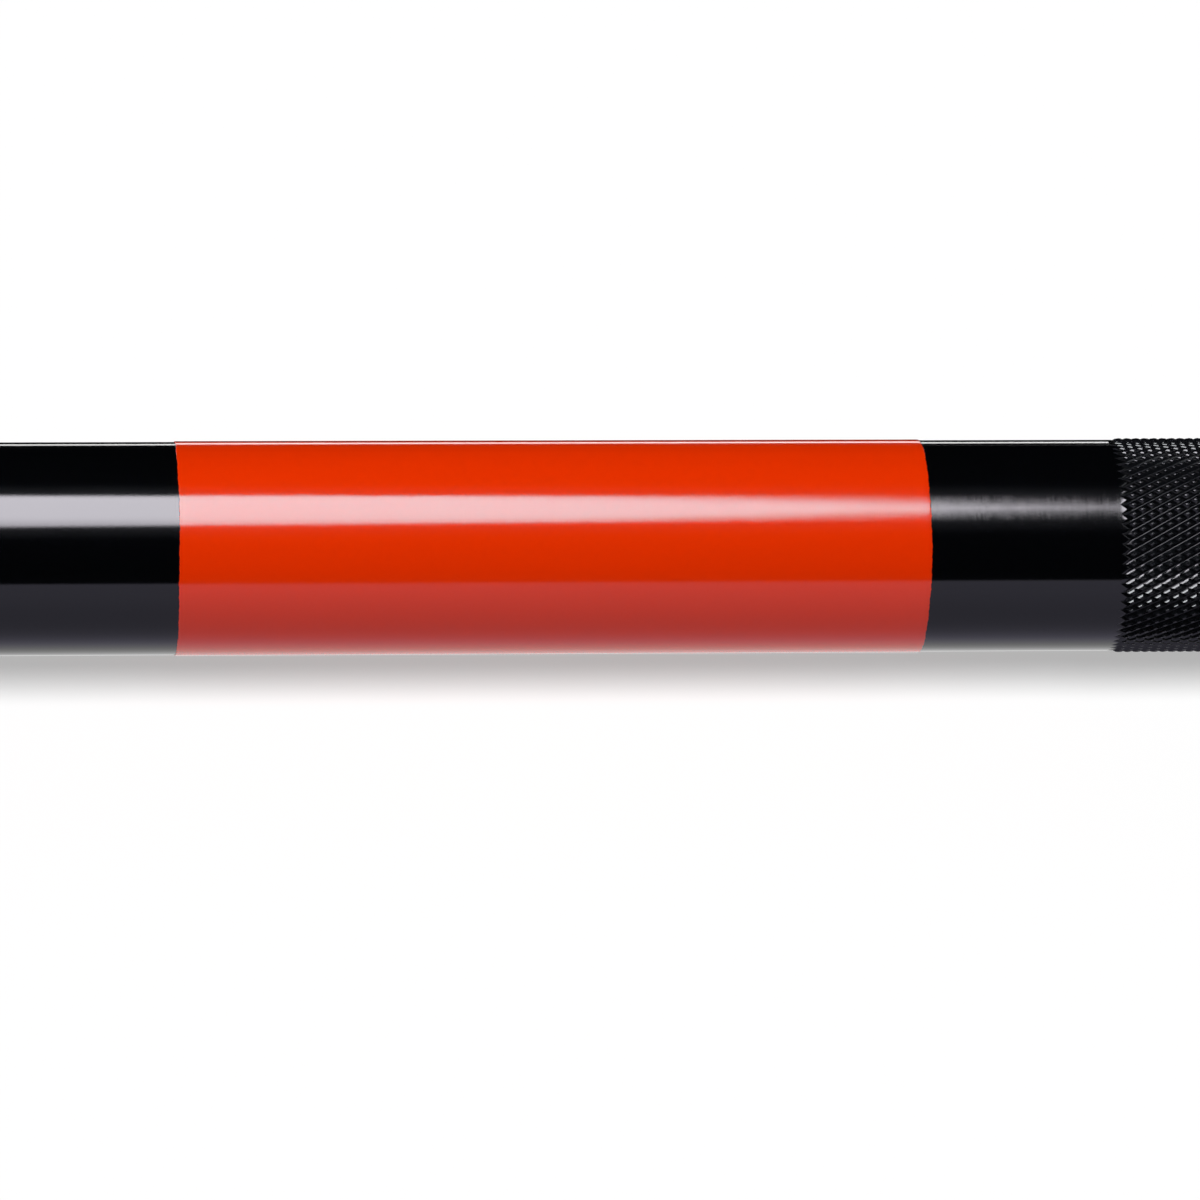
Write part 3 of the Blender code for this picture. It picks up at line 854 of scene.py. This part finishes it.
def rounded_normals(mesh):
    """Corner normals for domed caps, crowned flanks and round groove floors.

    The pairs of leans are those at the foot and at the brow.
    """
    part = read(mesh.attributes["part"].data, "value", np.int32)
    first, size = (read(mesh.polygons, name, np.int32) for name in ("loop_start", "loop_total"))
    vertex, edge = (read(mesh.loops, name, np.int32) for name in ("vertex_index", "edge_index"))
    slopes, centres = (read(mesh.polygons, name, width=3) for name in ("normal", "center"))
    places = read(mesh.vertices, "co", width=3)
    outward = places * (0, 1, 1) - (0, 0, AXIS)
    height = (np.linalg.norm(outward, axis=1) - SHAFT)[vertex]
    out = unit(outward)[vertex]
    face = np.repeat(np.arange(len(part)), size)
    kind = part[face]
    slope, here = slopes[face], places[vertex]
    normals = slope.copy()

    flank = kind == FLANK
    climb = slope[flank, 1] * out[flank, 2] - slope[flank, 2] * out[flank, 1]
    at_brow = (height[flank] > 0).astype(int)
    lean = np.where(slope[flank, 0] * climb > 0, STEEP_LEAN[at_brow], WIDE_LEAN[at_brow])
    normals[flank] = leaning(out[flank], slope[flank], lean)

    tooth, bank = kind == TOOTH, kind == BANK
    back = centres[face[tooth]] - here[tooth]
    at_tip = np.abs(back[:, 0]) > TIP_SHARE * np.abs(back[:, 0]).max()
    normals[tooth] = leaning(out[tooth], back, np.where(at_tip, BURR_LEAN, 0.0))
    lean = BANK_LEAN[(height[bank] > -CAP_DROP).astype(int)]
    normals[bank] = leaning(out[bank], slope[bank], lean)

    cap = kind == CAP
    at_peak = cap & (height > KNURL_CREST - CAP_DROP / 2)
    peaks = np.zeros((len(part), 3))
    peaks[face[at_peak]] = here[at_peak]
    normals[cap] = out[cap]
    rim = cap & ~at_peak
    normals[rim] = leaning(out[rim], here[rim] - peaks[face[rim]], CAP_LEAN)

    following = np.arange(len(face)) + 1
    following[first + size - 1] = first
    beside = np.full(len(mesh.edges), -1)
    sided = flank | bank
    beside[edge[sided]] = face[sided]
    on_floor = np.flatnonzero((kind == FLOOR) & (beside[edge] >= 0))
    for corner in (on_floor, following[on_floor]):
        normals[corner] = leaning(out[corner], slopes[beside[edge[on_floor]]], FLOOR_LEAN)
    mesh.normals_split_custom_set(normals)
    return np.bincount(part, minlength=TOOTH + 1)


print("flanks lean up to", f"{math.degrees(STEEP_LEAN.max()):.0f} degrees")

# %% Five knurled lengths
KNURL_ROWS = {"centre": 48, "grip": 76, "wide": 95}


def knurl(name, start, end, rows):
    """One knurled length, from the tree to a plain mesh without the tiles' empty first slot."""
    made = in_scene(name, bpy.data.meshes.new(name + "_empty"))
    rolling = made.modifiers.new("knurl", "NODES")
    rolling.node_group = knurl_tree
    values = {**PATTERN, "Start": start, "Length": end - start, "Half Columns": 2 * rows}
    for socket in knurl_tree.interface.items_tree:
        if socket.in_out == "INPUT":
            rolling[socket.identifier] = values[socket.name]
    evaluated = made.evaluated_get(bpy.context.evaluated_depsgraph_get())
    mesh = bpy.data.meshes.new_from_object(evaluated)
    mesh.name = name
    mesh.materials.pop(index=0)
    bpy.data.objects.remove(made)
    close_tube(mesh)
    counts = rounded_normals(mesh)
    print(name, dict(zip(("walls", "flanks", "caps", "floors", "banks", "teeth"), counts.tolist())))
    piece(name, mesh, "shaft_unit")


knurl("knurl_centre", *KNURL_ZONES["centre"], KNURL_ROWS["centre"])
for side, sign in BOTH_SIDES:
    for zone in ("grip", "wide"):
        start, end = sorted(sign * x for x in KNURL_ZONES[zone])
        knurl(f"knurl_{zone}_{side}", start, end, KNURL_ROWS[zone])

# %% [markdown]
# ## Grip bands
# The orange coat is sprayed over a masked length, so it stands a tenth of a millimetre proud with a
# rounded lip, and its edge wanders where the paint crept under the tape.

# %% Bands
BAND_SIDES, BAND_OUT, BAND_IN = 1056, 0.01461, 0.01445
LIP = (
    (0.0, SHAFT - 0.00002), (0.00001, SHAFT + 0.00005), (0.00005, SHAFT + 0.0001),
    (0.00012, BAND_OUT), (0.0002, BAND_OUT),
)
CREEP = ((5, 4e-5), (17, 2.5e-5), (43, 2e-5), (90, 2e-5), (170, 1.8e-5), (260, 1.4e-5))


def creep(seed):
    """How far the paint's edge wanders at each of the band's sides, as a sum of waves."""
    spots = np.random.default_rng(seed)
    turns = np.arange(BAND_SIDES) * math.tau / BAND_SIDES
    edge = np.zeros(BAND_SIDES)
    for waves, reach in CREEP:
        edge += reach * np.sin(waves * turns + spots.uniform(0, math.tau))
    return edge


for side, sign in BOTH_SIDES:
    name = f"grip_band_{side}_coat"
    low, high = sorted(sign * x for x in BAND)
    near = [(low + x, radius) for x, radius in LIP]
    far = [(high - x, radius) for x, radius in reversed(LIP)]
    profile = [*near, *far, (high, BAND_IN), (low, BAND_IN)]
    left_edge, right_edge = creep(3 + sign), creep(7 + sign)
    wander = [left_edge] * len(near) + [right_edge] * (len(far) + 1) + [left_edge]
    mesh = turned(name, profile, orange_coat, sides=BAND_SIDES, wander=wander)
    band = piece(name, mesh, "shaft_unit", [f"grip_band_{side}"])
    smooth_steel.objects.link(band)

# %% [markdown]
# ## Plated and plain metals
# Past the picture's edges the bar has hard-chromed sleeves, and inside them bronze, ground steel
# and spring steel. Each metal keeps the marks of how it was made: turning rings on the chrome,
# ground circles on the washers, pores in the bronze with painted shade in them, a blotchy
# oil-blackened skin on the springs. The caps are painted, and the wipers are plain black rubber.

# %% Metals
def made_of(name, recipe):
    """A material from a recipe, which gives the shader's values."""
    material, net = finish(name)
    principled(net, recipe(net))
    return material


def chromed(net):
    sockets = {0: object_place(net), 1: (60.0, 900.0, 900.0)}
    lengthwise = net.node("ShaderNodeVectorMath", {"operation": "MULTIPLY"}, sockets)[0]
    rub = noise(net, 1.0, 4.0, lengthwise)
    cloud = noise(net, 25.0)
    return {
        "Base Color": mixed(net, cloud, (0.56, 0.565, 0.575), (0.64, 0.645, 0.655)),
        "Metallic": 1.0, "Roughness": ramp(net, rub, 0.5, 0.75, 0.09, 0.13) + cloud * 0.04,
        "Normal": bump(net, rub, 6e-7, turning_marks(net, 5e-7, 0.0003)),
    }


def sintered(net):
    sockets = {"Vector": object_place(net), "Scale": 3000.0}
    pores = net.node("ShaderNodeTexVoronoi", None, sockets)["Distance"]
    # The pores are painted darker: painted shade in the hollows.
    clear_of_pore_shade = ramp(net, pores, 0.05, 0.35)
    return {
        "Base Color": mixed(net, clear_of_pore_shade, (0.2, 0.11, 0.045), (0.56, 0.33, 0.14)), "Metallic": 1.0,
        "Roughness": noise(net, 600.0) * 0.2 + 0.28,
        "Normal": bump(net, pores.math("MINIMUM", 0.3), 4e-5),
    }


def ground(net):
    _, y, z = split(net)
    height = z - AXIS
    circles = ring_noise(net, (y * y + height * height).math("SQRT") * 9000.0, 3.0)
    cloud = noise(net, 150.0)
    return {
        "Base Color": mixed(net, cloud, (0.36, 0.36, 0.37), (0.48, 0.48, 0.49)), "Metallic": 1.0,
        "Roughness": circles * 0.15 + 0.25, "Normal": bump(net, circles, 4e-6),
    }


def blued(net):
    blotches = noise(net, 220.0, 5.0)
    oiled = ramp(net, blotches, 0.35, 0.65)
    return {
        "Base Color": mixed(net, oiled, (0.07, 0.07, 0.078), (0.13, 0.127, 0.13)),
        "Metallic": 0.85, "Roughness": blotches * 0.25 + 0.3,
        "Normal": bump(net, noise(net, 2500.0), 4e-6),
    }


chrome, bronze = made_of("hard_chrome", chromed), made_of("sintered_bronze", sintered)
ground_steel, spring_steel = made_of("ground_washer", ground), made_of("blued_spring", blued)
print("metals:", [metal.name for metal in (chrome, bronze, ground_steel, spring_steel)])

# %% Paint and rubber
def painted(net):
    skin = noise(net, 1600.0, 2.0)
    return {
        "Base Color": mixed(net, skin, (0.02, 0.02, 0.022), (0.034, 0.034, 0.037)),
        "Roughness": noise(net, 120.0) * 0.12 + 0.3,
        "Normal": bump(net, skin, 1.2e-5),
    }


def moulded(net):
    bloom = noise(net, 90.0)
    return {
        "Base Color": mixed(net, bloom, (0.014, 0.014, 0.015), (0.028, 0.028, 0.028)),
        "Roughness": bloom * 0.15 + 0.55,
        "Normal": bump(net, noise(net, 4000.0, 2.0), 6e-6),
    }


cap_paint, rubber = made_of("cap_paint", painted), made_of("wiper_rubber", moulded)
print("paint and rubber:", cap_paint.name, rubber.name)

# %% [markdown]
# ## Sleeves
# Each end has a 50 mm tube for the plates and a pressed-on collar that stops them. Both are turned,
# so they are profiles again, with every edge eased. A V groove runs round the collar, and the
# tube's end is bored out for the cap and for the snap ring that holds it. A rubber wiper in the
# collar's lip keeps grit out.

# %% Tubes, collars and seals
TUBE_END, CAP_SEAT_AT = 0.445, 0.436
TUBE_PROFILE = [
    (0.0041, 0.0245), (0.0046, 0.025), (0.443, 0.025), (TUBE_END, 0.024), (TUBE_END, 0.02013),
    (0.44085, 0.02013), (0.44085, 0.02103), (0.4389, 0.02103), (0.4389, 0.02013),
    (CAP_SEAT_AT, 0.02013), (CAP_SEAT_AT, 0.01893), (0.4255, 0.01893), (0.4255, 0.01622),
    (0.01023, 0.01622), (0.01023, 0.01901), (0.0041, 0.01901),
]
COLLAR_RADIUS = collar_high.z - AXIS
COLLAR_PROFILE = [
    (0.0, COLLAR_RADIUS - 0.005), (0.005, COLLAR_RADIUS), (0.016, COLLAR_RADIUS),
    (0.0175, COLLAR_RADIUS - 0.001), (0.019, COLLAR_RADIUS), (0.029, COLLAR_RADIUS),
    (0.03, COLLAR_RADIUS - 0.001), (0.03, 0.02503), (0.004, 0.02503), (0.004, 0.0172),
    (0.0, 0.0172),
]
SEAL_PROFILE = [
    (0.0001, 0.01705), (0.0039, 0.01705), (0.0039, 0.01465), (0.002, 0.0152), (0.0001, 0.01465),
]
SLEEVE_PIECES = (
    ("sleeve_{}", "sleeve_tube_{}", TUBE_PROFILE, 0.0003, chrome, "chrome"),
    ("collar_{}_flange", "collar_{}", COLLAR_PROFILE, 0.0006, chrome, "chrome"),
    ("wiper_{}", "dust_seal_{}", SEAL_PROFILE, 0.0004, rubber, "rubber"),
)
for side, sign in BOTH_SIDES:
    for name, node, profile, reach, material, slot in SLEEVE_PIECES:
        mesh = turned(name.format(side), eased(on_side(profile, sign), reach), material)
        piece(name.format(side), mesh, f"{side}_sleeve", [node.format(side)])

# %% [markdown]
# ## Snap rings
# A snap ring in the tube's groove keeps the cap in: a flat open spring, widest opposite its mouth
# so that it bends evenly, with two eyes for the pliers. It isn't round, so it is a flat outline
# that is filled, given its thickness and bevelled.

# %% The snap ring's shape
RING_SEAT_RADIUS, RING_THICKNESS, RING_AT = 0.021, 0.00175, 0.439
RING_MOUTH, RING_LUG_END, RING_LUG_DEPTH = math.radians(8.1), math.radians(22.7), 0.0044
RING_WIDTH, RING_SWELL, RING_EASED, RING_EDGE = 0.0016, 0.0011, 0.0009, 0.00015
EYE_RADIUS, EYE_SHIFT, OUTER_POINTS, INNER_POINTS, EYE_POINTS = 0.0009, 0.0002, 121, 97, 24
RING_SHARP_FROM = math.radians(35)


def polar(radius, turn):
    """A point of the ring's outline, turned from straight up."""
    return (radius * math.sin(turn), radius * math.cos(turn))


def ring_outline():
    """The ring's outline and its two eyes, as loops with the steel on their right."""
    deep = RING_SEAT_RADIUS - RING_LUG_DEPTH
    outer = [
        polar(RING_SEAT_RADIUS, turn)
        for turn in np.linspace(RING_MOUTH, math.tau - RING_MOUTH, OUTER_POINTS)
    ]
    inner = [
        polar(RING_SEAT_RADIUS - RING_WIDTH - RING_SWELL * math.sin(turn / 2) ** 2, turn)
        for turn in np.linspace(math.tau - RING_LUG_END, RING_LUG_END, INNER_POINTS)
    ]
    left_lug = [polar(deep, -RING_MOUTH), polar(deep, -RING_LUG_END)]
    right_lug = [polar(deep, RING_LUG_END), polar(deep, RING_MOUTH)]
    loops = [eased(outer + left_lug + inner + right_lug, RING_EASED)]
    eye_turn = (RING_MOUTH + RING_LUG_END) / 2
    for turn in (-eye_turn, eye_turn):
        y, z = polar(RING_SEAT_RADIUS - RING_LUG_DEPTH / 2 - EYE_SHIFT, turn)
        loops.append([
            (y + EYE_RADIUS * math.cos(one), z + EYE_RADIUS * math.sin(one))
            for one in np.linspace(0, math.tau, EYE_POINTS, endpoint=False)
        ])
    return loops


def inset(points, reach):
    """A loop moved to its right by this reach, into the steel."""
    moved_points = []
    for index, point in enumerate(points):
        along = Vector(points[(index + 1) % len(points)]) - Vector(points[index - 1])
        moved_points.append(Vector(point) + reach * Vector((along.y, -along.x)).normalized())
    return moved_points


def snap_ring(name, x, material):
    """An open ring that springs outwards into a bore's groove, with broken edges."""
    outline = ring_outline()
    stations = (
        (0.0, RING_EDGE), (RING_EDGE, 0.0), (RING_THICKNESS - RING_EDGE, 0.0),
        (RING_THICKNESS, RING_EDGE),
    )
    corners, faces, slices = [], [], []
    for along, reach in stations:
        loops, starts = [inset(points, reach) for points in outline], []
        for points in loops:
            starts.append(len(corners))
            corners += [(x + along, point.x, AXIS + point.y) for point in points]
        slices.append((starts, loops))
    for (here, loops), (there, _) in zip(slices, slices[1:]):
        for first, second, points in zip(here, there, loops):
            for index in range(len(points)):
                after = (index + 1) % len(points)
                faces.append((first + index, first + after, second + after, second + index))
    for starts, loops in (slices[0], slices[-1]):
        flat = [[Vector((0.0, point.x, point.y)) for point in points] for points in loops]
        faces += [tuple(starts[0] + corner for corner in face) for face in tessellate_polygon(flat)]
    mesh = bpy.data.meshes.new(name)
    mesh.from_pydata(corners, [], faces)
    form = bmesh.new()
    form.from_mesh(mesh)
    bmesh.ops.recalc_face_normals(form, faces=form.faces)
    form.to_mesh(mesh)
    form.free()
    mesh.materials.append(material)
    mesh.shade_smooth()
    mesh.set_sharp_from_angle(angle=RING_SHARP_FROM)
    return mesh


print(f"snap ring of {2 * RING_SEAT_RADIUS * 1000:.0f} mm, {RING_THICKNESS * 1000:.2f} mm thick")

# %% [markdown]
# ## End caps
# A painted disc with a raised, dished middle closes each sleeve. It is turned, and the snap ring
# lies on its rim.

# %% Caps with their rings
CAP_PROFILE = [
    (0.4361, 0.0), (0.4361, 0.0201), (0.4389, 0.0201), (0.4389, 0.0165), (0.4383, 0.016),
    (0.4383, 0.0138), (0.4389, 0.013), (0.4411, 0.013), (0.4419, 0.0122), (0.4419, 0.009),
    (0.4415, 0.0084), (0.4415, 0.0),
]
CAP_EASED = 0.00025
for side, sign in BOTH_SIDES:
    body = f"{side}_sleeve"
    profile = eased(on_side(CAP_PROFILE, sign), CAP_EASED, closed=False)
    cap = turned(f"cap_{side}", profile, cap_paint, closed=False)
    piece(f"cap_{side}", cap, body, [f"end_cap_{side}"])
    ring_x = COLLAR_FACE + RING_AT if sign > 0 else -COLLAR_FACE - RING_AT - RING_THICKNESS
    ring = snap_ring(f"cap_spring_{side}", ring_x, spring_steel)
    piece(f"cap_spring_{side}", ring, body, [f"cap_ring_{side}"])

# %% [markdown]
# ## What stays inside
# The bushings, thrust washers and shaft rings are plain shapes that nobody sees, so the CAD pieces
# stay and only take their finish.

# %% Finishes on the pieces that keep their CAD shape
INSIDE = {
    "inner_bushing": bronze, "outer_bushing": bronze, "inner_thrust_washer": ground_steel,
    "outer_thrust_washer": ground_steel, "shaft_ring": spring_steel,
}
for name, material in INSIDE.items():
    for side, _ in BOTH_SIDES:
        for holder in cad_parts[f"{name}_{side}"].material_slots:
            holder.material = material
print("finished inside:", sorted(INSIDE))
